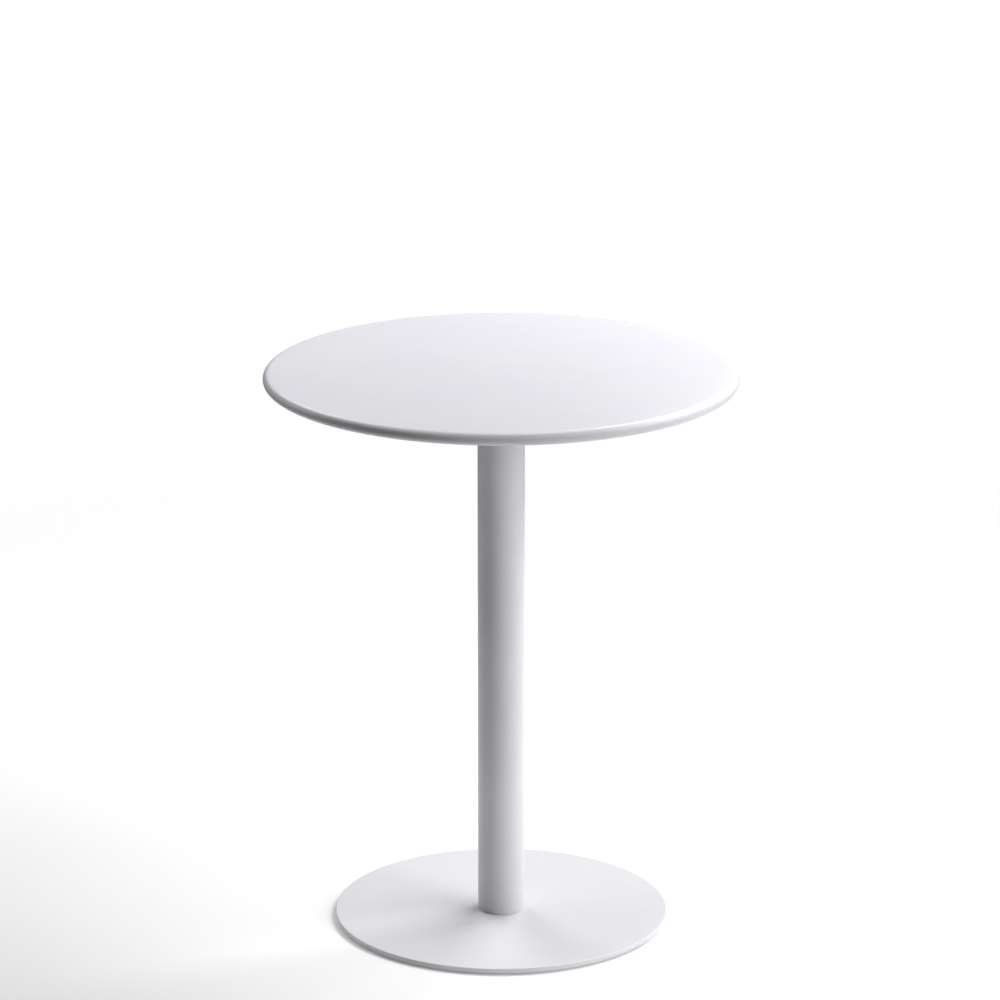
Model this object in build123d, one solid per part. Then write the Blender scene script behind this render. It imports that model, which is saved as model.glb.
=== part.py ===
"""Round pedestal table: a bullnosed board on a steel column, on a thin flat disc with levelling feet.

Frame: +Z is up, the origin is on the floor under the middle of the column, millimetres.
Bench order, from the top down: board with threaded inserts, support plate with its screws and washers,
column (tube with a tapped disc welded into each end), base plate with its countersunk bolts, levelling feet.
"""
import os
from math import cos, radians, sin

from build123d import *

# Driving dimensions
TABLE_HEIGHT = 730.0
BOARD_DIAMETER = 600.0
BOARD_THICKNESS = 16.0
BULLNOSE_DEPTH = 10.0  # how far in from the rim the rounding starts, on top and underneath
SUPPORT_DIAMETER = 260.0
SUPPORT_THICKNESS = 4.0
COLUMN_DIAMETER = 60.0
COLUMN_WALL = 2.0
BASE_DIAMETER = 430.0
BASE_THICKNESS = 6.0
BASE_TOP_ROUNDING = 1.5
PLATE_EDGE_BREAK = 0.5
PAD_HEIGHT = 2.0  # also the gap under the base plate while the feet are screwed fully in

# Heights of the joints between the main pieces
BASE_BOTTOM = PAD_HEIGHT
BASE_TOP = BASE_BOTTOM + BASE_THICKNESS
BOARD_BOTTOM = TABLE_HEIGHT - BOARD_THICKNESS
SUPPORT_BOTTOM = BOARD_BOTTOM - SUPPORT_THICKNESS
COLUMN_TOP = SUPPORT_BOTTOM

# Tapped discs welded into the column's ends
COLUMN_BORE_RADIUS = COLUMN_DIAMETER / 2 - COLUMN_WALL
DISC_RADIUS = COLUMN_BORE_RADIUS - 0.1
DISC_RECESS = 2.0
TOP_DISC_THICKNESS = 8.0
FOOT_DISC_THICKNESS = 10.0
WELD_LEG = 1.8
VENT_RADIUS = 5.0  # lets powder and air through the discs and the base plate

# Fasteners: (count, pitch circle radius, first angle)
COLUMN_BOLT_COUNT = 4
COLUMN_BOLT_CIRCLE = 17.0
COLUMN_BOLT_START = 45.0
BOARD_SCREW_COUNT = 6
BOARD_SCREW_CIRCLE = 115.0
BOARD_SCREW_START = 30.0
THREAD_GAP = 0.05  # radial room between a screw and its tapped hole, threads drawn plain
SINK_ROOM = 0.2  # radial room round a countersunk head
WELD_ROOM = 0.02  # keeps each bead just clear of the steel it joins

M8_RADIUS = 4.0
M8_CLEARANCE_RADIUS = 4.5
M8_HEAD_RADIUS = 8.0
M8_HEAD_HEIGHT = 4.2
M8_SOCKET_FLATS = 5.0
M8_SOCKET_DEPTH = 2.8
M8_LENGTH = 16.0

M6_RADIUS = 3.0
M6_CLEARANCE_RADIUS = 3.3
M6_HEAD_RADIUS = 6.0
M6_HEAD_HEIGHT = 3.2
M6_SOCKET_FLATS = 4.0
M6_SOCKET_DEPTH = 2.0
M6_LENGTH = 16.0

BUTTON_HEAD_RADIUS = 5.25
BUTTON_HEAD_HEIGHT = 3.3
BUTTON_SHOULDER_RADIUS = 4.75
BUTTON_SHOULDER_HEIGHT = 2.0
BUTTON_FLAT_RADIUS = 2.9
BUTTON_LENGTH = 12.0
WASHER_RADIUS = 6.25
WASHER_BORE_RADIUS = 3.2
WASHER_THICKNESS = 1.6

INSERT_RADIUS = 5.0
INSERT_LENGTH = 10.0
INSERT_FLANGE_RADIUS = 6.5
INSERT_FLANGE_THICKNESS = 1.2
INSERT_ROOM = 0.1

# Levelling feet: an M6 stud in a blind tapped hole, its flange held so that it turns inside a nylon pad
FOOT_COUNT = 4
FOOT_CIRCLE = 185.0
FOOT_START = 45.0
PAD_RADIUS = 13.0
PAD_EDGE_BREAK = 0.5
PAD_LIP = 0.4
STUD_LENGTH_IN_PLATE = 4.6
STUD_HOLE_DEPTH = 4.9
STUD_FLANGE_RADIUS = 5.5
STUD_FLANGE_THICKNESS = 0.6
SWIVEL_ROOM = 0.1
STUD_SOCKET_FLATS = 3.0
STUD_SOCKET_DEPTH = 2.5
KEY_HOLE_RADIUS = 2.5  # way through the pad for the hexagon key that turns the stud


def circle_of(count, radius, start):
    """Places spread evenly on a circle round the column's axis."""
    turns = (radians(start + 360 / count * i) for i in range(count))
    return [(radius * cos(a), radius * sin(a)) for a in turns]


COLUMN_BOLTS = circle_of(COLUMN_BOLT_COUNT, COLUMN_BOLT_CIRCLE, COLUMN_BOLT_START)
BOARD_SCREWS = circle_of(BOARD_SCREW_COUNT, BOARD_SCREW_CIRCLE, BOARD_SCREW_START)
FEET = circle_of(FOOT_COUNT, FOOT_CIRCLE, FOOT_START)


def disc(radius, low, high):
    """A plain round bar on the Z axis from one height to another."""
    return Pos(0, 0, low) * Cylinder(radius, high - low, align=(Align.CENTER, Align.CENTER, Align.MIN))


def cone(low_radius, high_radius, low, high):
    """A cone frustum on the Z axis."""
    align = (Align.CENTER, Align.CENTER, Align.MIN)
    return Pos(0, 0, low) * Cone(low_radius, high_radius, high - low, align=align)


def hexagon(flats, low, high):
    """A hexagonal bar on the Z axis, its size given across the flats."""
    outline = RegularPolygon(flats / 2, 6, major_radius=False)
    return extrude(Pos(0, 0, low) * outline, high - low)


def ring(outer, inner, low, high):
    """A plain ring on the Z axis."""
    return disc(outer, low, high) - disc(inner, low - 1, high + 1)


def turned(points):
    """A solid of revolution from the corners of half its section, as (radius, height)."""
    return revolve(make_face(Plane.XZ * Polyline(points, close=True)), Axis.Z)


def copies(piece, places):
    """One solid per place, as one group."""
    return Compound(children=[(Pos(x, y, 0) * piece).solids()[0] for x, y in places])


def board():
    """The board: flat on both faces, with an elliptical bullnose and blind holes for the inserts."""
    flat_radius = BOARD_DIAMETER / 2 - BULLNOSE_DEPTH
    middle = BOARD_BOTTOM + BOARD_THICKNESS / 2
    lower = Line((0, BOARD_BOTTOM), (flat_radius, BOARD_BOTTOM))
    half_thickness = BOARD_THICKNESS / 2
    nose = EllipticalCenterArc((flat_radius, middle), BULLNOSE_DEPTH, half_thickness, -90, arc_size=180)
    upper = Line((flat_radius, TABLE_HEIGHT), (0, TABLE_HEIGHT))
    axis_line = Line((0, TABLE_HEIGHT), (0, BOARD_BOTTOM))
    section = make_face(Plane.XZ * Curve([lower, nose, upper, axis_line]))
    blank = revolve(section, Axis.Z)
    seat = disc(INSERT_FLANGE_RADIUS + INSERT_ROOM, BOARD_BOTTOM - 1, BOARD_BOTTOM + INSERT_FLANGE_THICKNESS)
    hole = disc(INSERT_RADIUS + INSERT_ROOM, BOARD_BOTTOM, BOARD_BOTTOM + INSERT_LENGTH + 1)
    for x, y in BOARD_SCREWS:
        blank -= Pos(x, y, 0) * (seat + hole)
    return blank


def board_inserts():
    """Flanged M6 inserts, pressed flush into the underside of the board."""
    body = disc(INSERT_RADIUS, BOARD_BOTTOM, BOARD_BOTTOM + INSERT_LENGTH)
    body += disc(INSERT_FLANGE_RADIUS, BOARD_BOTTOM, BOARD_BOTTOM + INSERT_FLANGE_THICKNESS)
    body -= disc(M6_RADIUS + THREAD_GAP, BOARD_BOTTOM - 1, BOARD_BOTTOM + INSERT_LENGTH + 1)
    return copies(body, BOARD_SCREWS)


def board_screws():
    """Button-head M6 screws that go up through the support plate into the inserts."""
    under_head = SUPPORT_BOTTOM - WASHER_THICKNESS
    low = under_head - BUTTON_HEAD_HEIGHT
    shoulder = low + BUTTON_SHOULDER_HEIGHT
    head = cone(BUTTON_FLAT_RADIUS, BUTTON_SHOULDER_RADIUS, low, shoulder)
    head += cone(BUTTON_SHOULDER_RADIUS, BUTTON_HEAD_RADIUS, shoulder, under_head)
    head -= hexagon(M6_SOCKET_FLATS, low - 1, low + M6_SOCKET_DEPTH)
    screw = head + disc(M6_RADIUS, under_head, under_head + BUTTON_LENGTH)
    return copies(screw, BOARD_SCREWS)


def board_screw_washers():
    """Flat washers between the button heads and the support plate."""
    washer = ring(WASHER_RADIUS, WASHER_BORE_RADIUS, SUPPORT_BOTTOM - WASHER_THICKNESS, SUPPORT_BOTTOM)
    return copies(washer, BOARD_SCREWS)


def through_hole(radius, face):
    """A bar long enough to cut a hole through either plate, from below one face to above it."""
    reach = 2 * max(BASE_THICKNESS, SUPPORT_THICKNESS)
    return disc(radius, face - reach, face + reach)


def support_plate():
    """Round plate that spreads the column's load under the board."""
    plate = disc(SUPPORT_DIAMETER / 2, SUPPORT_BOTTOM, BOARD_BOTTOM)
    plate = chamfer(plate.edges().filter_by(GeomType.CIRCLE), PLATE_EDGE_BREAK)
    for x, y in BOARD_SCREWS:
        plate -= Pos(x, y, 0) * disc(M6_CLEARANCE_RADIUS, SUPPORT_BOTTOM - 1, BOARD_BOTTOM + 1)
    sink_low = BOARD_BOTTOM - M6_HEAD_HEIGHT
    sink = cone(M6_CLEARANCE_RADIUS, M6_HEAD_RADIUS + SINK_ROOM, sink_low, BOARD_BOTTOM)
    sink += through_hole(M6_CLEARANCE_RADIUS, BOARD_BOTTOM)
    for x, y in COLUMN_BOLTS:
        plate -= Pos(x, y, 0) * sink
    return plate


def support_plate_bolts():
    """Countersunk M6 bolts from the support plate down into the column's top disc."""
    head = cone(M6_RADIUS, M6_HEAD_RADIUS, BOARD_BOTTOM - M6_HEAD_HEIGHT, BOARD_BOTTOM)
    head -= hexagon(M6_SOCKET_FLATS, BOARD_BOTTOM - M6_SOCKET_DEPTH, BOARD_BOTTOM + 1)
    shank = disc(M6_RADIUS, BOARD_BOTTOM - M6_LENGTH, BOARD_BOTTOM - M6_HEAD_HEIGHT)
    return copies(head + shank, COLUMN_BOLTS)


def column_tube():
    """Round steel tube between the base plate and the support plate."""
    return ring(COLUMN_DIAMETER / 2, COLUMN_BORE_RADIUS, BASE_TOP, COLUMN_TOP)


def tapped_disc(low, high, tap_radius):
    """Round plug with tapped holes and a vent, welded inside the tube."""
    plug = disc(DISC_RADIUS, low, high) - disc(VENT_RADIUS, low - 1, high + 1)
    for x, y in COLUMN_BOLTS:
        plug -= Pos(x, y, 0) * disc(tap_radius + THREAD_GAP, low - 1, high + 1)
    return plug


def weld(face, outwards):
    """Ring of weld in the corner between the tube's bore and a disc's outer face."""
    wall = COLUMN_BORE_RADIUS - WELD_ROOM
    start = face + outwards * WELD_ROOM
    return turned([(wall, start), (wall - WELD_LEG, start), (wall, start + outwards * WELD_LEG)])


def base_plate():
    """Thin flat disc with a rounded top edge, countersunk for the column's bolts from below."""
    plate = disc(BASE_DIAMETER / 2, BASE_BOTTOM, BASE_TOP)
    rims = plate.edges().filter_by(GeomType.CIRCLE).sort_by(Axis.Z)
    plate = fillet(rims[-1], BASE_TOP_ROUNDING)
    lower_rim = plate.edges().filter_by(GeomType.CIRCLE).sort_by(Axis.Z)[0]
    plate = chamfer(lower_rim, PLATE_EDGE_BREAK)
    plate -= disc(VENT_RADIUS, BASE_BOTTOM - 1, BASE_TOP + 1)
    sink_top = BASE_BOTTOM + M8_HEAD_HEIGHT
    sink = cone(M8_HEAD_RADIUS + SINK_ROOM, M8_CLEARANCE_RADIUS, BASE_BOTTOM, sink_top)
    sink += through_hole(M8_CLEARANCE_RADIUS, BASE_BOTTOM)
    for x, y in COLUMN_BOLTS:
        plate -= Pos(x, y, 0) * sink
    stud_hole = disc(M6_RADIUS + THREAD_GAP, BASE_BOTTOM - 1, BASE_BOTTOM + STUD_HOLE_DEPTH)
    for x, y in FEET:
        plate -= Pos(x, y, 0) * stud_hole
    return plate


def base_bolts():
    """Countersunk M8 bolts from under the base plate up into the column's foot disc."""
    head = cone(M8_HEAD_RADIUS, M8_RADIUS, BASE_BOTTOM, BASE_BOTTOM + M8_HEAD_HEIGHT)
    head -= hexagon(M8_SOCKET_FLATS, BASE_BOTTOM - 1, BASE_BOTTOM + M8_SOCKET_DEPTH)
    shank = disc(M8_RADIUS, BASE_BOTTOM + M8_HEAD_HEIGHT, BASE_BOTTOM + M8_LENGTH)
    return copies(head + shank, COLUMN_BOLTS)


def foot_stud():
    """Threaded stud of a levelling foot, with its flange and the socket it is turned by."""
    flange_top = PAD_HEIGHT - PAD_LIP - SWIVEL_ROOM
    flange_low = flange_top - STUD_FLANGE_THICKNESS
    stud = disc(STUD_FLANGE_RADIUS, flange_low, flange_top)
    stud += disc(M6_RADIUS, flange_top, BASE_BOTTOM + STUD_LENGTH_IN_PLATE)
    return stud - hexagon(STUD_SOCKET_FLATS, flange_low - 1, flange_low + STUD_SOCKET_DEPTH)


def foot_pad():
    """Nylon pad of a levelling foot: it stays still on the floor while the stud turns inside it."""
    pad = disc(PAD_RADIUS, 0, PAD_HEIGHT)
    pad = chamfer(pad.edges().filter_by(GeomType.CIRCLE).sort_by(Axis.Z)[0], PAD_EDGE_BREAK)
    pocket_top = PAD_HEIGHT - PAD_LIP
    pocket_low = pocket_top - STUD_FLANGE_THICKNESS - 2 * SWIVEL_ROOM
    pad -= disc(STUD_FLANGE_RADIUS + SWIVEL_ROOM, pocket_low, pocket_top)
    pad -= disc(M6_RADIUS + SWIVEL_ROOM, pocket_low, PAD_HEIGHT + 1)
    return pad - disc(KEY_HOLE_RADIUS, -1, PAD_HEIGHT)


def write(name, shape):
    """Writes one node's STEP file."""
    export_step(shape, os.path.join("parts", name + ".step"))


os.makedirs("parts", exist_ok=True)

top_disc_high = COLUMN_TOP - DISC_RECESS
foot_disc_low = BASE_TOP + DISC_RECESS
write("tabletop", board())
write("tabletop_inserts", board_inserts())
write("tabletop_screws", board_screws())
write("tabletop_screw_washers", board_screw_washers())
write("support_plate", support_plate())
write("support_plate_bolts", support_plate_bolts())
write("column_tube", column_tube())
write("column_top_disc", tapped_disc(top_disc_high - TOP_DISC_THICKNESS, top_disc_high, M6_RADIUS))
write("column_top_weld", weld(top_disc_high, 1))
write("column_foot_disc", tapped_disc(foot_disc_low, foot_disc_low + FOOT_DISC_THICKNESS, M8_RADIUS))
write("column_foot_weld", weld(foot_disc_low, -1))
write("base_plate", base_plate())
write("base_bolts", base_bolts())
for number, (foot_x, foot_y) in enumerate(FEET, start=1):
    write(f"foot_{number}_stud", Pos(foot_x, foot_y, 0) * foot_stud())
    write(f"foot_{number}_pad", Pos(foot_x, foot_y, 0) * foot_pad())
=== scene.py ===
import math

import bpy
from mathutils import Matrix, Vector


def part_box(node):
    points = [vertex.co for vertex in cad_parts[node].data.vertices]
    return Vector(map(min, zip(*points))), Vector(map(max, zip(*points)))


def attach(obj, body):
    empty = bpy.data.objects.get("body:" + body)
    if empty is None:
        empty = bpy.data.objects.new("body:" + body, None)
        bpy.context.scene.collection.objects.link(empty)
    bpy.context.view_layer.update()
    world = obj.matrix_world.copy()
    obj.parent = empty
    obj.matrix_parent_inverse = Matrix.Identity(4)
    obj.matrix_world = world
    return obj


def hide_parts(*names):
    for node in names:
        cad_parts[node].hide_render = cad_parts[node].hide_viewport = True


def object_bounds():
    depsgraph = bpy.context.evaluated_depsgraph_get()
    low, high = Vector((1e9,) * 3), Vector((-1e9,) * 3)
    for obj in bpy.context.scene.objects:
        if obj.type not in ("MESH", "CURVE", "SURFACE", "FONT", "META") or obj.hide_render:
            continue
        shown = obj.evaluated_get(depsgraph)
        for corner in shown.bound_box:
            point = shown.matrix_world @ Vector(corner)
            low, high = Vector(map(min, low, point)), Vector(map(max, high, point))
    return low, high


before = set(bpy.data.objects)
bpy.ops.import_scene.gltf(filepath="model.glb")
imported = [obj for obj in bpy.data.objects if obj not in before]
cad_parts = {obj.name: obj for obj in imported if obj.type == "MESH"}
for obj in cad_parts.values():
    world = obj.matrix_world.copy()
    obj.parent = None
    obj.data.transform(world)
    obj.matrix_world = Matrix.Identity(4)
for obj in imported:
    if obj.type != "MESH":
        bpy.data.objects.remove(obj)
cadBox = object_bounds()
scene = bpy.context.scene
mm = 0.001
table = "table"  # the body that everything but the feet rides on


def fromHex(code):
    # an sRGB hex colour as the linear values that the shader wants
    channels = [int(code[i:i + 2], 16) / 255 for i in (1, 3, 5)]
    return tuple(c / 12.92 if c <= 0.04045 else ((c + 0.055) / 1.055) ** 2.4 for c in channels) + (1.0,)


def addNode(tree, kind, settings=None, inputs=None):
    # one node with its settings; an input given as a socket is linked, anything else is set as its value
    node = tree.nodes.new(kind)
    for name, value in (settings or {}).items():
        setattr(node, name, value)
    for name, value in (inputs or {}).items():
        if isinstance(value, bpy.types.NodeSocket):
            tree.links.new(value, node.inputs[name])
        else:
            node.inputs[name].default_value = value
    return node


def startMaterial(name, shader):
    material = bpy.data.materials.new(name)
    material.use_nodes = True
    tree = material.node_tree
    tree.nodes.clear()
    surface = addNode(tree, "ShaderNodeBsdfPrincipled", inputs=shader)
    output = addNode(tree, "ShaderNodeOutputMaterial")
    tree.links.new(surface.outputs["BSDF"], output.inputs["Surface"])
    place = addNode(tree, "ShaderNodeTexCoord").outputs["Object"]
    return material, tree, surface, place


def distanceFromAxis(tree, place):
    # how far a point is from the column's centre line, in metres
    flat = addNode(tree, "ShaderNodeVectorMath", {"operation": "MULTIPLY"}, {0: place, 1: (1, 1, 0)})
    return addNode(tree, "ShaderNodeVectorMath", {"operation": "LENGTH"}, {0: flat.outputs[0]}).outputs[1]


def joinUp(tree, surface, links):
    for name, value in links.items():
        tree.links.new(value, surface.inputs[name])


middle = {"From Min": 0.3, "From Max": 0.7}  # where most of a noise pattern's values lie

lacquer = {"white": "#D9D9DE", "shade": "#D3D3D9", "rub": "#DDDDE1", "roughness": (0.34, 0.44),
           "rubFrom": 9 * mm, "rubTo": 1 * mm, "waveDepth": 0.03 * mm, "peelDepth": 0.008 * mm}


def satinLacquer():
    # sprayed satin polyurethane on sanded fibreboard: a soft sheen over a faint peel and slow waves
    material, tree, surface, place = startMaterial("satinLacquer", {"IOR": 1.5})
    clouds = addNode(tree, "ShaderNodeTexNoise", inputs={"Vector": place, "Scale": 1 / (140 * mm),
                                                         "Detail": 3, "Roughness": 0.55}).outputs["Fac"]
    peel = addNode(tree, "ShaderNodeTexNoise", inputs={"Vector": place, "Scale": 1 / (2.6 * mm),
                                                       "Detail": 2}).outputs["Fac"]
    waves = addNode(tree, "ShaderNodeTexNoise", inputs={"Vector": place, "Scale": 1 / (45 * mm),
                                                        "Detail": 2}).outputs["Fac"]
    along = addNode(tree, "ShaderNodeMapping", inputs={"Vector": place, "Scale": (0.25, 1.6, 1)}).outputs[0]
    wipes = addNode(tree, "ShaderNodeTexNoise", inputs={"Vector": along, "Scale": 1 / (5 * mm),
                                                        "Detail": 3, "Roughness": 0.6}).outputs["Fac"]
    patches = addNode(tree, "ShaderNodeMapRange", inputs={"Value": clouds, **middle}).outputs[0]
    colour = addNode(tree, "ShaderNodeMix", {"data_type": "RGBA"},
                     {0: patches, 6: fromHex(lacquer["white"]), 7: fromHex(lacquer["shade"])}).outputs[2]
    # hands and cloths have rubbed the rim a little paler
    edge = cadBox[1][0]
    rim = addNode(tree, "ShaderNodeMapRange", inputs={"Value": distanceFromAxis(tree, place),
                                                      "From Min": edge - lacquer["rubFrom"],
                                                      "From Max": edge - lacquer["rubTo"]}).outputs[0]
    streaks = addNode(tree, "ShaderNodeMapRange", inputs={"Value": wipes, "From Min": 0.45, "From Max": 0.75,
                                                          "To Max": 0.8}).outputs[0]
    worn = addNode(tree, "ShaderNodeMath", {"operation": "MULTIPLY"}, {0: rim, 1: streaks}).outputs[0]
    colour = addNode(tree, "ShaderNodeMix", {"data_type": "RGBA"},
                     {0: worn, 6: colour, 7: fromHex(lacquer["rub"])}).outputs[2]
    smooth, matt = lacquer["roughness"]
    wiped = addNode(tree, "ShaderNodeMapRange", inputs={"Value": wipes, **middle, "To Min": smooth,
                                                        "To Max": matt}).outputs[0]
    cloudy = addNode(tree, "ShaderNodeMapRange", inputs={"Value": clouds, **middle, "To Min": -0.02,
                                                         "To Max": 0.03}).outputs[0]
    gloss = addNode(tree, "ShaderNodeMath", {"operation": "ADD"}, {0: wiped, 1: cloudy}).outputs[0]
    swell = addNode(tree, "ShaderNodeBump", inputs={"Height": waves, "Strength": 1.0,
                                                    "Distance": lacquer["waveDepth"]}).outputs[0]
    skin = addNode(tree, "ShaderNodeBump", inputs={"Height": peel, "Strength": 1.0, "Normal": swell,
                                                   "Distance": lacquer["peelDepth"]}).outputs[0]
    joinUp(tree, surface, {"Base Color": colour, "Roughness": gloss, "Normal": skin})
    return material


powder = {"white": "#D6D6D9", "shade": "#D0D0D4", "scuff": "#C4C4C8", "roughness": (0.40, 0.50),
          "scuffFrom": 9 * mm, "scuffTo": 60 * mm, "peelDepth": 0.016 * mm, "gritDepth": 0.002 * mm}


def powderCoat():
    # polyester powder baked on steel: orange peel about three millimetres across, and shoe scuffs low down;
    # the grit of single grains is drawn coarser than its real tenth of a millimetre, too fine to show
    material, tree, surface, place = startMaterial("powderCoat", {"IOR": 1.5})
    clouds = addNode(tree, "ShaderNodeTexNoise", inputs={"Vector": place, "Scale": 1 / (120 * mm),
                                                         "Detail": 3, "Roughness": 0.55}).outputs["Fac"]
    peel = addNode(tree, "ShaderNodeTexNoise", inputs={"Vector": place, "Scale": 1 / (3 * mm),
                                                       "Detail": 1.5, "Roughness": 0.45}).outputs["Fac"]
    grit = addNode(tree, "ShaderNodeTexNoise", inputs={"Vector": place, "Scale": 1 / (0.8 * mm),
                                                       "Detail": 1}).outputs["Fac"]
    along = addNode(tree, "ShaderNodeMapping", inputs={"Vector": place, "Scale": (0.5, 1.3, 1)}).outputs[0]
    scuffs = addNode(tree, "ShaderNodeTexNoise", inputs={"Vector": along, "Scale": 1 / (14 * mm),
                                                         "Detail": 5, "Roughness": 0.7}).outputs["Fac"]
    patches = addNode(tree, "ShaderNodeMapRange", inputs={"Value": clouds, **middle}).outputs[0]
    colour = addNode(tree, "ShaderNodeMix", {"data_type": "RGBA"},
                     {0: patches, 6: fromHex(powder["white"]), 7: fromHex(powder["shade"])}).outputs[2]
    height = addNode(tree, "ShaderNodeSeparateXYZ", inputs={"Vector": place}).outputs["Z"]
    low = addNode(tree, "ShaderNodeMapRange", inputs={"Value": height, "From Min": powder["scuffFrom"],
                                                      "From Max": powder["scuffTo"], "To Min": 1,
                                                      "To Max": 0}).outputs[0]
    kicks = addNode(tree, "ShaderNodeMapRange", inputs={"Value": scuffs, "From Min": 0.6, "From Max": 0.8,
                                                        "To Max": 0.35}).outputs[0]
    marks = addNode(tree, "ShaderNodeMath", {"operation": "MULTIPLY"}, {0: low, 1: kicks}).outputs[0]
    colour = addNode(tree, "ShaderNodeMix", {"data_type": "RGBA"},
                     {0: marks, 6: colour, 7: fromHex(powder["scuff"])}).outputs[2]
    smooth, matt = powder["roughness"]
    cloudy = addNode(tree, "ShaderNodeMapRange", inputs={"Value": clouds, **middle, "To Min": smooth,
                                                         "To Max": matt}).outputs[0]
    dulled = addNode(tree, "ShaderNodeMapRange", inputs={"Value": scuffs, **middle,
                                                         "To Max": 0.05}).outputs[0]
    gloss = addNode(tree, "ShaderNodeMath", {"operation": "ADD"}, {0: cloudy, 1: dulled}).outputs[0]
    orange = addNode(tree, "ShaderNodeBump", inputs={"Height": peel, "Strength": 1.0,
                                                     "Distance": powder["peelDepth"]}).outputs[0]
    skin = addNode(tree, "ShaderNodeBump", inputs={"Height": grit, "Strength": 1.0, "Normal": orange,
                                                   "Distance": powder["gritDepth"]}).outputs[0]
    joinUp(tree, surface, {"Base Color": colour, "Roughness": gloss, "Normal": skin})
    return material


zincFinish = {"blue": "#C3C8CE", "yellow": "#CBC7B8", "roughness": (0.26, 0.42), "grainDepth": 0.004 * mm}


def zincPlate():
    # bright zinc on cold-headed steel: a bluish metal with clouds of yellow, dulled by handling;
    # its crystals are drawn coarser than their real few hundredths of a millimetre, too fine to show
    material, tree, surface, place = startMaterial("zincPlate", {"Metallic": 1.0})
    clouds = addNode(tree, "ShaderNodeTexNoise", inputs={"Vector": place, "Scale": 1 / (4 * mm), "Detail": 3,
                                                         "Roughness": 0.6}).outputs["Fac"]
    grain = addNode(tree, "ShaderNodeTexNoise", inputs={"Vector": place, "Scale": 1 / (0.35 * mm),
                                                        "Detail": 2}).outputs["Fac"]
    patches = addNode(tree, "ShaderNodeMapRange", inputs={"Value": clouds, **middle}).outputs[0]
    blue, yellow = fromHex(zincFinish["blue"]), fromHex(zincFinish["yellow"])
    colour = addNode(tree, "ShaderNodeMix", {"data_type": "RGBA"},
                     {0: patches, 6: blue, 7: yellow}).outputs[2]
    bright, dull = zincFinish["roughness"]
    gloss = addNode(tree, "ShaderNodeMapRange", inputs={"Value": clouds, **middle, "To Min": bright,
                                                        "To Max": dull}).outputs[0]
    skin = addNode(tree, "ShaderNodeBump", inputs={"Height": grain, "Strength": 1.0,
                                                   "Distance": zincFinish["grainDepth"]}).outputs[0]
    joinUp(tree, surface, {"Base Color": colour, "Roughness": gloss, "Normal": skin})
    return material


# the wave texture multiplies its scale by twenty
latheFinish = {"clean": "#8D8E90", "oily": "#6E6A64", "roughness": (0.30, 0.50), "feed": 0.4 * mm,
               "waveUnits": 20, "ringDepth": 0.01 * mm}


def turnedSteel():
    # mild steel faced on a lathe: rings from the tool, and an oily bloom; the rings are drawn 0.4 mm apart,
    # coarser than a real feed of 0.1 mm, too fine to show
    material, tree, surface, place = startMaterial("turnedSteel", {"Metallic": 1.0})
    ringScale = 2 * math.pi / (latheFinish["waveUnits"] * latheFinish["feed"])
    rings = addNode(tree, "ShaderNodeTexWave", {"wave_type": "RINGS", "rings_direction": "Z"},
                    {"Vector": place, "Scale": ringScale, "Distortion": 0.4, "Detail": 1.0}).outputs["Fac"]
    bloom = addNode(tree, "ShaderNodeTexNoise", inputs={"Vector": place, "Scale": 1 / (9 * mm), "Detail": 4,
                                                        "Roughness": 0.6}).outputs["Fac"]
    patches = addNode(tree, "ShaderNodeMapRange", inputs={"Value": bloom, **middle}).outputs[0]
    clean, oily = fromHex(latheFinish["clean"]), fromHex(latheFinish["oily"])
    colour = addNode(tree, "ShaderNodeMix", {"data_type": "RGBA"},
                     {0: patches, 6: clean, 7: oily}).outputs[2]
    bright, dull = latheFinish["roughness"]
    gloss = addNode(tree, "ShaderNodeMapRange", inputs={"Value": bloom, **middle, "To Min": bright,
                                                        "To Max": dull}).outputs[0]
    skin = addNode(tree, "ShaderNodeBump", inputs={"Height": rings, "Strength": 1.0,
                                                   "Distance": latheFinish["ringDepth"]}).outputs[0]
    joinUp(tree, surface, {"Base Color": colour, "Roughness": gloss, "Normal": skin})
    return material


weldFinish = {"pale": "#5B5957", "dark": "#3C3A39", "straw": "#7A6248", "roughness": (0.35, 0.65),
              "scaleDepth": 0.05 * mm}


def weldMetal():
    # an unground bead: grey scale, and straw where the heat ran out
    material, tree, surface, place = startMaterial("weldMetal", {"Metallic": 1.0})
    scale = addNode(tree, "ShaderNodeTexNoise", inputs={"Vector": place, "Scale": 1 / (1.2 * mm),
                                                        "Detail": 4, "Roughness": 0.65}).outputs["Fac"]
    heat = addNode(tree, "ShaderNodeTexNoise", inputs={"Vector": place, "Scale": 1 / (6 * mm),
                                                       "Detail": 2}).outputs["Fac"]
    flakes = addNode(tree, "ShaderNodeMapRange", inputs={"Value": scale, **middle}).outputs[0]
    grey = addNode(tree, "ShaderNodeMix", {"data_type": "RGBA"},
                   {0: flakes, 6: fromHex(weldFinish["pale"]), 7: fromHex(weldFinish["dark"])}).outputs[2]
    burnt = addNode(tree, "ShaderNodeMapRange", inputs={"Value": heat, "From Min": 0.5, "From Max": 0.75,
                                                        "To Max": 0.6}).outputs[0]
    colour = addNode(tree, "ShaderNodeMix", {"data_type": "RGBA"},
                     {0: burnt, 6: grey, 7: fromHex(weldFinish["straw"])}).outputs[2]
    bright, dull = weldFinish["roughness"]
    gloss = addNode(tree, "ShaderNodeMapRange", inputs={"Value": scale, **middle, "To Min": bright,
                                                        "To Max": dull}).outputs[0]
    skin = addNode(tree, "ShaderNodeBump", inputs={"Height": scale, "Strength": 1.0,
                                                   "Distance": weldFinish["scaleDepth"]}).outputs[0]
    joinUp(tree, surface, {"Base Color": colour, "Roughness": gloss, "Normal": skin})
    return material


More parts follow.
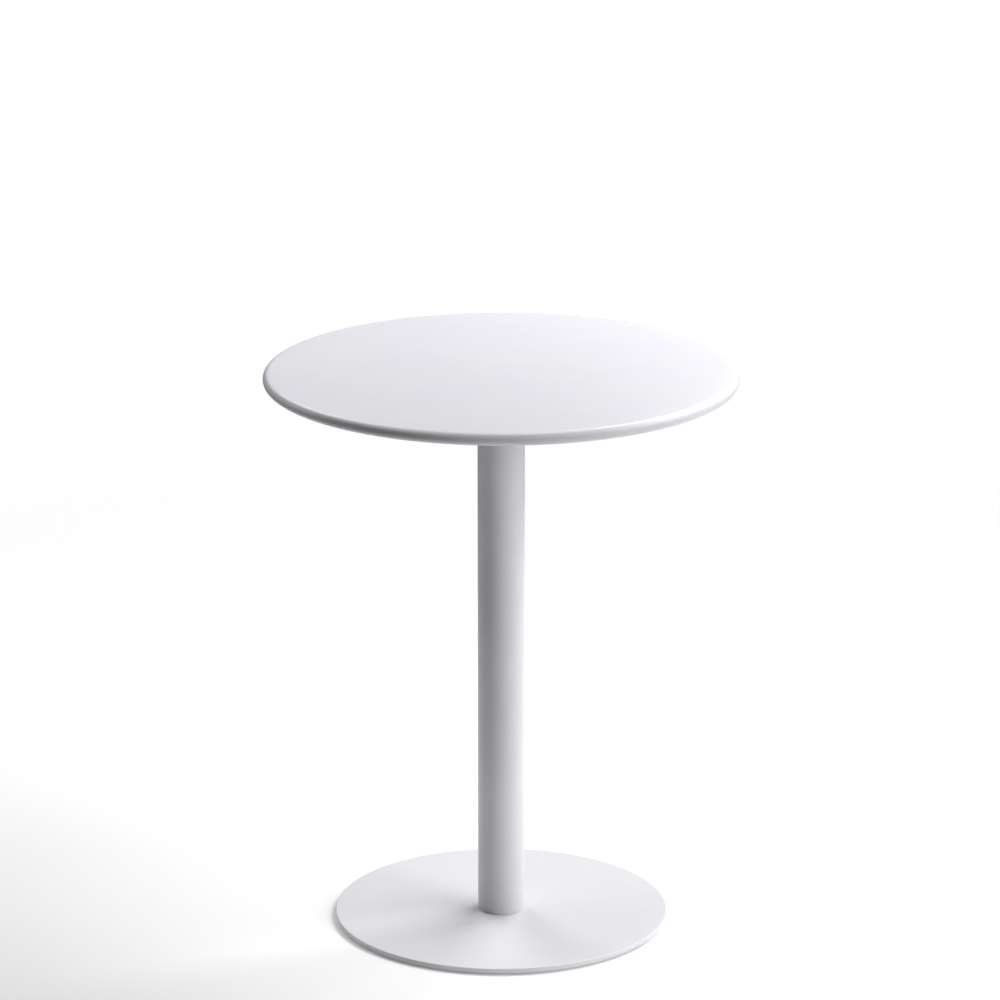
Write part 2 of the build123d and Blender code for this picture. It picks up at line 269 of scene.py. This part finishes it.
nylonFinish = {"black": "#1C1C1E", "scratch": "#4A4A4C", "roughness": (0.50, 0.66), "grainDepth": 0.02 * mm}


def blackNylon():
    # injection-moulded nylon from a spark-eroded mould: matt, with a fine even grain and paler scratches;
    # the grain is drawn coarser than its real tenth of a millimetre, too fine to show
    material, tree, surface, place = startMaterial("blackNylon", {"IOR": 1.53})
    grain = addNode(tree, "ShaderNodeTexNoise", inputs={"Vector": place, "Scale": 1 / (0.5 * mm),
                                                        "Detail": 2, "Roughness": 0.6}).outputs["Fac"]
    along = addNode(tree, "ShaderNodeMapping", inputs={"Vector": place, "Scale": (0.3, 2.5, 1)}).outputs[0]
    drags = addNode(tree, "ShaderNodeTexNoise", inputs={"Vector": along, "Scale": 1 / (3 * mm), "Detail": 5,
                                                        "Roughness": 0.75}).outputs["Fac"]
    scratches = addNode(tree, "ShaderNodeMapRange", inputs={"Value": drags, "From Min": 0.62,
                                                            "From Max": 0.82, "To Max": 0.5}).outputs[0]
    black, pale = fromHex(nylonFinish["black"]), fromHex(nylonFinish["scratch"])
    colour = addNode(tree, "ShaderNodeMix", {"data_type": "RGBA"},
                     {0: scratches, 6: black, 7: pale}).outputs[2]
    smooth, matt = nylonFinish["roughness"]
    gloss = addNode(tree, "ShaderNodeMapRange", inputs={"Value": grain, **middle, "To Min": smooth,
                                                        "To Max": matt}).outputs[0]
    skin = addNode(tree, "ShaderNodeBump", inputs={"Height": grain, "Strength": 1.0,
                                                   "Distance": nylonFinish["grainDepth"]}).outputs[0]
    joinUp(tree, surface, {"Base Color": colour, "Roughness": gloss, "Normal": skin})
    return material


print("materials")
lacquerWhite = satinLacquer()
coatWhite = powderCoat()
zinc = zincPlate()
steel = turnedSteel()
bead = weldMetal()
nylon = blackNylon()


def clearSelection():
    if bpy.context.mode != "OBJECT":
        bpy.ops.object.mode_set(mode="OBJECT")
    bpy.ops.object.select_all(action="DESELECT")


def onlySelect(piece):
    clearSelection()
    piece.select_set(True)
    bpy.context.view_layer.objects.active = piece


def closeEnd():
    # a fan of triangles over the selected ring of edges
    bpy.ops.mesh.edge_face_add()
    bpy.ops.mesh.poke()


def turned(name, rings, segments, centre=(0, 0), hollow=False, openStart=False, lead=0.0):
    # a ring of edges grown step by step to each (radius, height), as on a lathe, then closed;
    # a third and fourth number put a ring off centre, and lead turns the first point of them all
    clearSelection()
    radius, height = rings[0][:2]
    x, y = centre
    bpy.ops.mesh.primitive_circle_add(vertices=segments, radius=radius, location=(x, y, height),
                                      rotation=(0, 0, lead))
    piece = bpy.context.object
    piece.name = name
    bpy.ops.object.transform_apply(location=True, rotation=True, scale=True)
    bpy.ops.object.mode_set(mode="EDIT")
    bpy.ops.mesh.select_mode(type="EDGE")
    bpy.ops.mesh.select_all(action="SELECT")
    for nextRadius, nextHeight, *aside in rings[1:]:
        nextX, nextY = (centre[0] + aside[0], centre[1] + aside[1]) if aside else centre
        step = (nextX - x, nextY - y, nextHeight - height)
        bpy.ops.mesh.extrude_region_move(TRANSFORM_OT_translate={"value": step})
        grow = nextRadius / radius
        bpy.ops.transform.resize(value=(grow, grow, 1), center_override=(nextX, nextY, nextHeight))
        radius, height, x, y = nextRadius, nextHeight, nextX, nextY
    if not hollow:
        closeEnd()
    bpy.ops.mesh.select_all(action="DESELECT")
    bpy.ops.mesh.select_non_manifold(extend=False)
    if hollow:
        bpy.ops.mesh.bridge_edge_loops()
    elif not openStart:
        closeEnd()
    bpy.ops.mesh.select_all(action="SELECT")
    bpy.ops.mesh.normals_make_consistent(inside=False)
    bpy.ops.object.mode_set(mode="OBJECT")
    return piece


def arc(centre, radii, start, end, steps):
    # (radius, height) points along an elliptical arc, angles in degrees
    angles = [math.radians(start + (end - start) * i / steps) for i in range(steps + 1)]
    return [(centre[0] + radii[0] * math.cos(a), centre[1] + radii[1] * math.sin(a)) for a in angles]


def circleOf(count, radius, start):
    # places evenly round the centre line, the first at start degrees
    turns = [math.radians(start + 360 / count * i) for i in range(count)]
    return [(radius * math.cos(a), radius * math.sin(a)) for a in turns]


def drilled(piece, rings, segments, places):
    # takes a turned shape out of the piece at each place; it is led round a little, so that none of its
    # points falls on one of the piece's own edges
    for place in places:
        drill = turned("drill", rings, segments, place, lead=math.radians(2))
        onlySelect(piece)
        carve = piece.modifiers.new("carve", "BOOLEAN")
        carve.operation = "DIFFERENCE"
        carve.solver = "EXACT"
        carve.object = drill
        bpy.ops.object.modifier_apply(modifier=carve.name)
        bpy.data.objects.remove(drill)


def merged(pieces, name):
    # several meshes as one
    clearSelection()
    for piece in pieces:
        piece.select_set(True)
    bpy.context.view_layer.objects.active = pieces[0]
    bpy.ops.object.join()
    pieces[0].name = name
    return pieces[0]


def copyTo(piece, name, offset, turn):
    # a copy with its own mesh, turned about its own axis and moved
    onlySelect(piece)
    bpy.ops.object.duplicate(linked=False)
    copy = bpy.context.object
    copy.name = name
    copy.rotation_euler.z = turn
    copy.location = (offset[0], offset[1], 0)
    bpy.ops.object.transform_apply(location=True, rotation=True, scale=True)
    return copy


def finishPiece(piece, body, nodes, material, angle=35):
    # smooth where it is round, sharp where it is cut, and riding on its body
    onlySelect(piece)
    bpy.ops.object.shade_smooth_by_angle(angle=math.radians(angle))
    piece.data.materials.clear()
    piece.data.materials.append(material)
    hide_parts(*nodes)
    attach(piece, body)
    return piece


holeSegments = 48  # round a plain hole
sinkSegments = 64  # round a countersunk hole
boardShape = {"segments": 256, "noseDepth": 10 * mm, "noseSteps": 28, "faceRings": (0.15, 0.45, 0.75, 0.93),
              "insertHoles": 6, "insertCircle": 115 * mm, "insertStart": 30,
              "holeRadius": 5.1 * mm, "holeDepth": 11 * mm, "seatRadius": 6.6 * mm, "seatDepth": 1.2 * mm}
boardLow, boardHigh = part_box("tabletop")
insertPlaces = circleOf(boardShape["insertHoles"], boardShape["insertCircle"], boardShape["insertStart"])


def makeBoard(shape):
    outer = cadBox[1][0]
    flat = outer - shape["noseDepth"]
    middle = (boardLow.z + boardHigh.z) / 2
    half = (boardHigh.z - boardLow.z) / 2
    top = [(flat * share, boardHigh.z) for share in shape["faceRings"]]
    nose = arc((flat, middle), (shape["noseDepth"], half), 90, -90, shape["noseSteps"])
    under = [(flat * share, boardLow.z) for share in reversed(shape["faceRings"])]
    board = turned("board", top + nose + under, shape["segments"])
    seat = boardLow.z + shape["seatDepth"]
    hole = [(shape["seatRadius"], boardLow.z - mm), (shape["seatRadius"], seat),
            (shape["holeRadius"], seat), (shape["holeRadius"], boardLow.z + shape["holeDepth"])]
    drilled(board, hole, holeSegments, insertPlaces)
    return board


print("board")
finishPiece(makeBoard(boardShape), table, ["tabletop"], lacquerWhite)


tubeShape = {"segments": 160, "wall": 2 * mm, "edge": 0.4 * mm, "burr": 0.2 * mm, "rings": 9}
tubeLow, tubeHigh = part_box("column_tube")


def makeTube(shape):
    outer = tubeHigh.x
    bore = outer - shape["wall"]
    low, high = tubeLow.z, tubeHigh.z
    edge, burr = shape["edge"], shape["burr"]
    outside = arc((outer - edge, low + edge), (edge, edge), -90, 0, 4)
    outside += [(outer, low + (high - low) * i / shape["rings"]) for i in range(1, shape["rings"])]
    outside += arc((outer - edge, high - edge), (edge, edge), 0, 90, 4)
    inside = [(bore + burr, high), (bore, high - burr), (bore, low + burr), (bore + burr, low)]
    return turned("columnTube", outside + inside, shape["segments"], hollow=True)


print("column")
finishPiece(makeTube(tubeShape), table, ["column_tube"], coatWhite)


plateShape = {"segments": 256, "rounding": 1.5 * mm, "chamfer": 0.5 * mm, "ventRadius": 5 * mm,
              "faceRings": (0.3, 0.6, 0.9), "boltHoles": 4, "boltCircle": 17 * mm, "boltStart": 45,
              "boltRadius": 4.5 * mm, "sinkRadius": 8.2 * mm, "sinkDepth": 4.2 * mm, "proud": 0.1 * mm,
              "studRadius": 3.05 * mm, "studDepth": 4.9 * mm}
plateLow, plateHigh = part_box("base_plate")
boltPlaces = circleOf(plateShape["boltHoles"], plateShape["boltCircle"], plateShape["boltStart"])
footPlaces = []
for number in range(1, 5):
    padLow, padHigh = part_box(f"foot_{number}_pad")
    footPlaces.append(((padLow.x + padHigh.x) / 2, (padLow.y + padHigh.y) / 2))


def makeBasePlate(shape):
    outer = plateHigh.x
    low, high = plateLow.z, plateHigh.z
    vent, chamfer, rounding = shape["ventRadius"], shape["chamfer"], shape["rounding"]
    under = [(vent, low)] + [(outer * share, low) for share in shape["faceRings"]]
    rim = [(outer - chamfer, low), (outer, low + chamfer)]
    rim += arc((outer - rounding, high - rounding), (rounding, rounding), 0, 90, 8)
    top = [(outer * share, high) for share in reversed(shape["faceRings"])] + [(vent, high)]
    plate = turned("basePlate", under + rim + top, shape["segments"], hollow=True)
    boltHole = [(shape["sinkRadius"] + shape["proud"], low - shape["proud"]),
                (shape["boltRadius"], low + shape["sinkDepth"]), (shape["boltRadius"], high + mm)]
    studHole = [(shape["studRadius"], low - mm), (shape["studRadius"], low + shape["studDepth"])]
    drilled(plate, boltHole, sinkSegments, boltPlaces)
    drilled(plate, studHole, holeSegments, footPlaces)
    return plate


print("base plate")
finishPiece(makeBasePlate(plateShape), table, ["base_plate"], coatWhite)


supportShape = {"segments": 192, "chamfer": 0.5 * mm, "faceRings": (0.3, 0.6), "screwRadius": 3.3 * mm,
                "boltRadius": 3.3 * mm, "sinkRadius": 6.2 * mm, "sinkDepth": 3.2 * mm, "proud": 0.1 * mm}
supportLow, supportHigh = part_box("support_plate")


def makeSupportPlate(shape):
    outer = supportHigh.x
    low, high, chamfer = supportLow.z, supportHigh.z, shape["chamfer"]
    under = [(outer * share, low) for share in shape["faceRings"]]
    rim = [(outer - chamfer, low), (outer, low + chamfer), (outer, high - chamfer), (outer - chamfer, high)]
    top = [(outer * share, high) for share in reversed(shape["faceRings"])]
    plate = turned("supportPlate", under + rim + top, shape["segments"])
    boltHole = [(shape["boltRadius"], low - mm), (shape["boltRadius"], high - shape["sinkDepth"]),
                (shape["sinkRadius"] + shape["proud"], high + shape["proud"])]
    screwHole = [(shape["screwRadius"], low - mm), (shape["screwRadius"], high + mm)]
    drilled(plate, screwHole, holeSegments, insertPlaces)
    drilled(plate, boltHole, sinkSegments, boltPlaces)
    return plate


print("support plate")
finishPiece(makeSupportPlate(supportShape), table, ["support_plate"], coatWhite)


discShape = {"segments": 128, "chamfer": 0.4 * mm, "faceRings": (0.4, 0.9), "ventRadius": 5 * mm,
             "topTap": 3.05 * mm, "footTap": 4.05 * mm}
weldShape = {"drops": 66, "dropRadius": 1.25 * mm, "sunk": 0.62, "squash": 0.62,
             "grain": 0.3 * mm, "calm": 2}


def makeDisc(name, node, tapRadius):
    low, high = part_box(node)
    outer, chamfer, vent = high.x, discShape["chamfer"], discShape["ventRadius"]
    faces = discShape["faceRings"]
    under = [(vent, low.z)] + [(outer * share, low.z) for share in faces] + [(outer - chamfer, low.z)]
    side = [(outer, low.z + chamfer), (outer, high.z - chamfer), (outer - chamfer, high.z)]
    top = [(outer * share, high.z) for share in reversed(faces)] + [(vent, high.z)]
    disc = turned(name, under + side + top, discShape["segments"], hollow=True)
    drilled(disc, [(tapRadius, low.z - mm), (tapRadius, high.z + mm)], holeSegments, boltPlaces)
    return finishPiece(disc, table, [node], steel)


def makeWeld(name, node):
    # drops of metal laid one over the next round the corner, then run together
    low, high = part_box(node)
    middle = (low.z + high.z) / 2
    reach = high.x - weldShape["dropRadius"] * weldShape["sunk"]
    clearSelection()
    bpy.ops.mesh.primitive_ico_sphere_add(subdivisions=2, radius=weldShape["dropRadius"],
                                          location=(reach, 0, middle))
    drop = bpy.context.object
    bpy.ops.object.mode_set(mode="EDIT")
    bpy.ops.transform.resize(value=(1, weldShape["squash"], 1), center_override=(reach, 0, middle))
    bpy.ops.object.mode_set(mode="OBJECT")
    bpy.ops.object.transform_apply(location=True, rotation=True, scale=True)
    step = 2 * math.pi / weldShape["drops"]
    drops = [drop] + [copyTo(drop, "drop", (0, 0), step * i) for i in range(1, weldShape["drops"])]
    weld = merged(drops, name)
    run = weld.modifiers.new("run", "REMESH")
    run.mode = "VOXEL"
    run.voxel_size = weldShape["grain"]
    bpy.ops.object.modifier_apply(modifier=run.name)
    calm = weld.modifiers.new("calm", "SMOOTH")
    calm.iterations = weldShape["calm"]
    bpy.ops.object.modifier_apply(modifier=calm.name)
    return finishPiece(weld, table, [node], bead, 60)


print("discs and welds")
makeDisc("topDisc", "column_top_disc", discShape["topTap"])
makeDisc("footDisc", "column_foot_disc", discShape["footTap"])
makeWeld("topWeld", "column_top_weld")
makeWeld("footWeld", "column_foot_weld")


# a thread's depth and fade are shares of its pitch
threadShape = {"segments": 36, "ringsPerTurn": 10, "depth": 0.54, "fade": 0.3}
# the head's open ring and the point's depth are shares of the key's width, the point's radius of its corner
socketShape = {"bevel": 0.3 * mm, "mouth": 0.72, "point": 0.4, "pointDepth": 0.2}


def threadRings(radius, pitch, start, end, leadIn):
    # a thread is a stack of rings a little off centre, each swung further round than the last;
    # it fades to the core at its start and over leadIn at its end
    swing = threadShape["depth"] * pitch / 2
    core = radius - 2 * swing
    count = round(abs(end - start) / pitch * threadShape["ringsPerTurn"])
    rings = []
    for i in range(count + 1):
        height = start + (end - start) * i / count
        full = min(abs(height - start) / (threadShape["fade"] * pitch), abs(end - height) / leadIn, 1)
        turn = 2 * math.pi * height / pitch
        out = swing * full
        rings.append((core + out, height, out * math.cos(turn), out * math.sin(turn)))
    return rings


def keySocket(piece, flats, face, depth):
    # a hexagon well with a drilled point, grown in the open end of a head, upwards or downwards
    corner, bevel = flats / math.sqrt(3), socketShape["bevel"]
    way = math.copysign(1, depth)
    bottom = face + depth
    wells = [(corner + bevel, face), (corner, face + way * bevel), (corner, bottom),
             (socketShape["point"] * corner, bottom + way * socketShape["pointDepth"] * flats)]
    onlySelect(piece)
    bpy.ops.object.mode_set(mode="EDIT")
    bpy.ops.mesh.select_mode(type="EDGE")
    bpy.ops.mesh.select_all(action="DESELECT")
    radius, height = wells[0]
    bpy.ops.mesh.primitive_circle_add(vertices=6, radius=radius, location=(0, 0, height))
    for nextRadius, nextHeight in wells[1:]:
        bpy.ops.mesh.extrude_region_move(TRANSFORM_OT_translate={"value": (0, 0, nextHeight - height)})
        grow = nextRadius / radius
        bpy.ops.transform.resize(value=(grow, grow, 1), center_override=(0, 0, nextHeight))
        radius, height = nextRadius, nextHeight
    closeEnd()
    bpy.ops.mesh.select_all(action="DESELECT")
    bpy.ops.mesh.select_non_manifold(extend=False)
    bpy.ops.mesh.bridge_edge_loops()
    bpy.ops.mesh.select_all(action="SELECT")
    bpy.ops.mesh.normals_make_consistent(inside=False)
    bpy.ops.object.mode_set(mode="OBJECT")
    return piece


def setOut(model, name, node, places, turn):
    # one zinc plated copy at each place, each turned a little further than the last
    for i, place in enumerate(places):
        piece = copyTo(model, f"{name}{i + 1}", place, turn * (i + 1))
        finishPiece(piece, table, [node], zinc)
    bpy.data.objects.remove(model)


screwShape = {"thread": 2.98 * mm, "pitch": 1 * mm, "leadIn": 0.6 * mm, "head": 5.25 * mm, "crown": 2.9 * mm,
              "headHeight": 3.3 * mm, "edge": 0.3 * mm, "socket": 4 * mm, "socketDepth": 2 * mm}
screwLow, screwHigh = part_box("tabletop_screws")


def makeBoardScrew(shape):
    crown, head, edge = shape["crown"], shape["head"], shape["edge"]
    seat = screwLow.z + shape["headHeight"]
    dome = arc((crown, seat - edge), (head - crown, shape["headHeight"] - edge), -90, 0, 10)
    rim = [(head, seat - edge / 3), (head - edge / 3, seat)]
    thread = threadRings(shape["thread"], shape["pitch"], seat, screwHigh.z, shape["leadIn"])
    screw = turned("boardScrew", dome + rim + thread, threadShape["segments"], openStart=True)
    return keySocket(screw, shape["socket"], screwLow.z, shape["socketDepth"])


print("tabletop screws, washers and inserts")
setOut(makeBoardScrew(screwShape), "boardScrew", "tabletop_screws", insertPlaces, math.radians(47))

washerShape = {"segments": 64, "outer": 6.25 * mm, "bore": 3.2 * mm, "roll": 0.3 * mm, "burr": 0.08 * mm}
washerLow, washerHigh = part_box("tabletop_screw_washers")


def makeWasher(shape):
    # punched from strip: one edge rolled over, the other left with a small burr
    outer, bore, roll, burr = shape["outer"], shape["bore"], shape["roll"], shape["burr"]
    low, high = washerLow.z, washerHigh.z
    rings = [(bore, low + roll), (bore + roll * 0.3, low + roll * 0.3), (bore + roll, low)]
    rings += arc((outer - roll, low + roll), (roll, roll), -90, 0, 5)
    rings += [(outer, high - burr), (outer - burr, high), (bore + burr, high), (bore, high - burr)]
    return turned("washer", rings, shape["segments"], hollow=True)


setOut(makeWasher(washerShape), "boardScrewWasher", "tabletop_screw_washers", insertPlaces, math.radians(29))

insertShape = {"segments": 48, "bore": 3.08 * mm, "bevel": 0.3 * mm, "groove": 0.3 * mm, "pitch": 1 * mm,
               "outer": 5 * mm, "barb": 0.6 * mm, "barbs": 4, "tip": 0.6 * mm, "flange": 6.5 * mm,
               "flangeHeight": 1.2 * mm, "edge": 0.2 * mm, "backEdge": 0.1 * mm}
insertLow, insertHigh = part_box("tabletop_inserts")


def makeInsert(shape):
    # pressed in from below: barbs that point back down hold it in the board
    low, high = insertLow.z, insertHigh.z
    bore, flange, outer, pitch = shape["bore"], shape["flange"], shape["outer"], shape["pitch"]
    mouth, edge, backEdge = bore + shape["bevel"], shape["edge"], shape["backEdge"]
    core = outer - shape["barb"]
    neck = low + shape["flangeHeight"]
    step = (high - neck - shape["tip"]) / shape["barbs"]
    rings = [(mouth, low), (flange - edge, low), (flange, low + edge),
             (flange, neck - backEdge), (flange - backEdge, neck), (core, neck)]
    for i in range(shape["barbs"]):
        foot = neck + step * i
        rings += [(core, foot + 0.3 * step), (outer, foot + 0.34 * step), (core, foot + 0.98 * step)]
    rings += [(core - edge, high), (mouth, high)]
    for i in range(int((high - low) / pitch) - 1, 0, -1):
        crest = low + i * pitch
        rings += [(bore, crest + 0.1 * pitch), (bore, crest), (bore + shape["groove"], crest - 0.4 * pitch)]
    return turned("insert", rings, shape["segments"], hollow=True)


setOut(makeInsert(insertShape), "boardInsert", "tabletop_inserts", insertPlaces, math.radians(17))

supportBoltShape = {"name": "supportBolt", "thread": 2.98 * mm, "pitch": 1 * mm, "leadIn": 0.6 * mm,
                    "head": 6 * mm, "headHeight": 3.2 * mm, "edge": 0.25 * mm, "relief": 0.2 * mm,
                    "socket": 4 * mm, "socketDepth": 2 * mm}
baseBoltShape = {"name": "baseBolt", "thread": 3.98 * mm, "pitch": 1.25 * mm, "leadIn": 0.8 * mm,
                 "head": 8 * mm, "headHeight": 4.2 * mm, "edge": 0.25 * mm, "relief": 0.2 * mm,
                 "socket": 5 * mm, "socketDepth": 2.8 * mm}


def makeSunkBolt(shape, face, end):
    # a countersunk head whose flat face is at one height, and a thread from its cone to the end
    way = math.copysign(1, end - face)
    edge, flats, wide = shape["edge"], shape["socket"], shape["head"]
    neck = face + way * shape["headHeight"]
    mouth = socketShape["mouth"] * flats
    head = [(mouth, face), (wide - edge, face), (wide, face + way * edge), (shape["thread"], neck)]
    threadStart = neck + way * shape["relief"]
    thread = threadRings(shape["thread"], shape["pitch"], threadStart, end, shape["leadIn"])
    bolt = turned(shape["name"], head + thread, threadShape["segments"], openStart=True)
    return keySocket(bolt, flats, face, way * shape["socketDepth"])


print("column bolts")
supportBoltLow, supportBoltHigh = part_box("support_plate_bolts")
supportBolt = makeSunkBolt(supportBoltShape, supportBoltHigh.z, supportBoltLow.z)
setOut(supportBolt, "supportBolt", "support_plate_bolts", boltPlaces, math.radians(38))
baseBoltLow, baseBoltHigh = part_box("base_bolts")
baseBolt = makeSunkBolt(baseBoltShape, baseBoltLow.z, baseBoltHigh.z)
setOut(baseBolt, "baseBolt", "base_bolts", boltPlaces, math.radians(23))

padShape = {"segments": 96, "edge": 0.5 * mm, "topEdge": 0.3 * mm, "lip": 0.4 * mm, "keyHole": 2.5 * mm,
            "pocket": 5.6 * mm, "pocketHeight": 0.8 * mm, "stem": 3.1 * mm, "burr": 0.15 * mm,
            "grooves": (7.0 * mm, 9.2 * mm), "grooveWidth": 0.5 * mm, "grooveDepth": 0.25 * mm}
studShape = {"flange": 5.5 * mm, "flangeHeight": 0.6 * mm, "edge": 0.1 * mm, "thread": 2.98 * mm,
             "pitch": 1 * mm, "leadIn": 0.5 * mm, "socket": 3 * mm, "socketDepth": 2.5 * mm}


def makePad(shape, low, high):
    outer = (high.x - low.x) / 2
    height = high.z - low.z
    edge, topEdge, burr = shape["edge"], shape["topEdge"], shape["burr"]
    rings = [(shape["keyHole"], burr), (shape["keyHole"] + burr, 0)]
    wide, deep = shape["grooveWidth"] / 2, shape["grooveDepth"]
    for groove in shape["grooves"]:
        rings += [(groove - wide, 0), (groove - wide * 0.6, deep)]
        rings += [(groove + wide * 0.6, deep), (groove + wide, 0)]
    rings += arc((outer - edge, edge), (edge, edge), -90, 0, 5)
    rings += arc((outer - topEdge, height - topEdge), (topEdge, topEdge), 0, 90, 4)
    ceiling = height - shape["lip"]
    floor = ceiling - shape["pocketHeight"]
    rings += [(shape["stem"] + burr, height), (shape["stem"], height - burr), (shape["stem"], ceiling),
              (shape["pocket"], ceiling), (shape["pocket"], floor), (shape["keyHole"], floor)]
    return turned("pad", rings, shape["segments"], hollow=True)


def makeStud(shape, low, high):
    flange, edge = shape["flange"], shape["edge"]
    top = low.z + shape["flangeHeight"]
    mouth = socketShape["mouth"] * shape["socket"]
    rings = [(mouth, low.z), (flange - edge, low.z), (flange, low.z + edge)]
    rings += [(flange, top - edge), (flange - edge, top)]
    rings += threadRings(shape["thread"], shape["pitch"], top, high.z, shape["leadIn"])
    stud = turned("stud", rings, threadShape["segments"], openStart=True)
    return keySocket(stud, shape["socket"], low.z, shape["socketDepth"])


print("levelling feet")
padModel = makePad(padShape, *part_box("foot_1_pad"))
studModel = makeStud(studShape, *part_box("foot_1_stud"))
for number, place in enumerate(footPlaces, 1):
    pad = copyTo(padModel, f"footPad{number}", place, math.radians(31 * number))
    finishPiece(pad, f"foot_{number}_pad", [f"foot_{number}_pad"], nylon)
    stud = copyTo(studModel, f"footStud{number}", place, math.radians(53 * number))
    finishPiece(stud, f"foot_{number}_stud", [f"foot_{number}_stud"], zinc)
bpy.data.objects.remove(padModel)
bpy.data.objects.remove(studModel)


# the soft lamps of the studio, and one below the paper that only shows the underside of the base
studio = {"floorRadius": 4, "fadeStart": 0.8, "fadeEnd": 2.2, "floor": "#EFEFEF", "air": "#FFFFFF"}
lights = {
    # name: (place in metres, what it points at, width of the disc in metres, watts, whether it is mirrored)
    "lowRight": ((3.7, -2.1, 1.5), (0, 0, 0.4), 2.2, 108, False),  # its glare would bleach the top
    "highRight": ((3.4, 0.0, 3.3), (0, 0, 0.4), 2.4, 88, True),
    "window": ((1.8, 1.5, 2.3), (0, 0, 0.5), 1.2, 45, True),
    "nearTop": ((0.6, 1.2, 1.75), (0, 0, 0.4), 0.6, 12.6, True),
    "backLeft": ((-1.7, 3.0, 3.3), (0, 0, 0.4), 2.2, 66, True),
    "highLeft": ((-2.2, 0.0, 4.3), (0, 0, 0.4), 2.2, 34, True),
    "lowLeft": ((-3.5, 1.4, 2.1), (0, 0, 0.4), 1.8, 18, True),
}
underBase = {"drop": 1.5, "width": 0.04, "softEdge": 0.1, "watts": 45}
cameraPlace = {"back": 5.8766, "height": 2.3017, "aside": -0.0015, "down": 16.512, "lens": 174.0}


def hang(lamp, place, target, mirrored):
    light = bpy.data.objects.new(lamp.name, lamp)
    light.location = place
    light.rotation_euler = (Vector(target) - light.location).to_track_quat("-Z", "Y").to_euler()
    light.visible_camera = False
    light.visible_glossy = mirrored
    scene.collection.objects.link(light)


def paperFloor():
    # matt white paper that fades into the pale air all round, and is clear from below
    material, tree, surface, place = startMaterial("paperFloor", {"Base Color": fromHex(studio["floor"]),
                                                                  "Roughness": 0.9})
    far = addNode(tree, "ShaderNodeMapRange", inputs={"Value": distanceFromAxis(tree, place),
                                                      "From Min": studio["fadeStart"],
                                                      "From Max": studio["fadeEnd"]}).outputs[0]
    below = addNode(tree, "ShaderNodeNewGeometry").outputs["Backfacing"]
    clear = addNode(tree, "ShaderNodeMath", {"operation": "MAXIMUM"}, {0: far, 1: below}).outputs[0]
    solid = addNode(tree, "ShaderNodeMath", {"operation": "SUBTRACT"}, {0: 1.0, 1: clear}).outputs[0]
    joinUp(tree, surface, {"Alpha": solid})
    return material


def makeStudio():
    clearSelection()
    bpy.ops.mesh.primitive_circle_add(vertices=128, radius=studio["floorRadius"], fill_type="NGON")
    floor = bpy.context.object
    floor.name = "floor"
    floor.data.materials.append(paperFloor())
    floor.visible_shadow = False  # lets the lamp under the base through; every other lamp is above it
    world = bpy.data.worlds.new("studioAir")
    world.use_nodes = True
    world.node_tree.nodes["Background"].inputs["Color"].default_value = fromHex(studio["air"])
    world.cycles_visibility.diffuse = False  # the air is only seen: all the light comes from the lamps
    world.cycles_visibility.glossy = False
    scene.world = world
    for name, (place, target, width, watts, mirrored) in lights.items():
        lamp = bpy.data.lights.new(name, "AREA")
        lamp.shape = "DISK"
        lamp.size = width
        lamp.energy = watts
        hang(lamp, place, target, mirrored)
    # just wide enough for the base, which keeps it off everything above
    spot = bpy.data.lights.new("underBase", "SPOT")
    spot.spot_size = 2 * math.atan(plateHigh.x / underBase["drop"])
    spot.spot_blend = underBase["softEdge"]
    spot.shadow_soft_size = underBase["width"]
    spot.energy = underBase["watts"]
    hang(spot, (0, 0, -underBase["drop"]), (0, 0, 0), True)


def makeCamera():
    lens = bpy.data.cameras.new("camera")
    lens.lens = cameraPlace["lens"]
    lens.clip_end = 200
    camera = bpy.data.objects.new("camera", lens)
    camera.location = (cameraPlace["aside"], -cameraPlace["back"], cameraPlace["height"])
    camera.rotation_euler = (math.radians(90 - cameraPlace["down"]), 0, 0)
    scene.collection.objects.link(camera)
    scene.camera = camera


print("studio")
makeStudio()
makeCamera()
scene.view_settings.view_transform = "Standard"

bpy.context.view_layer.update()
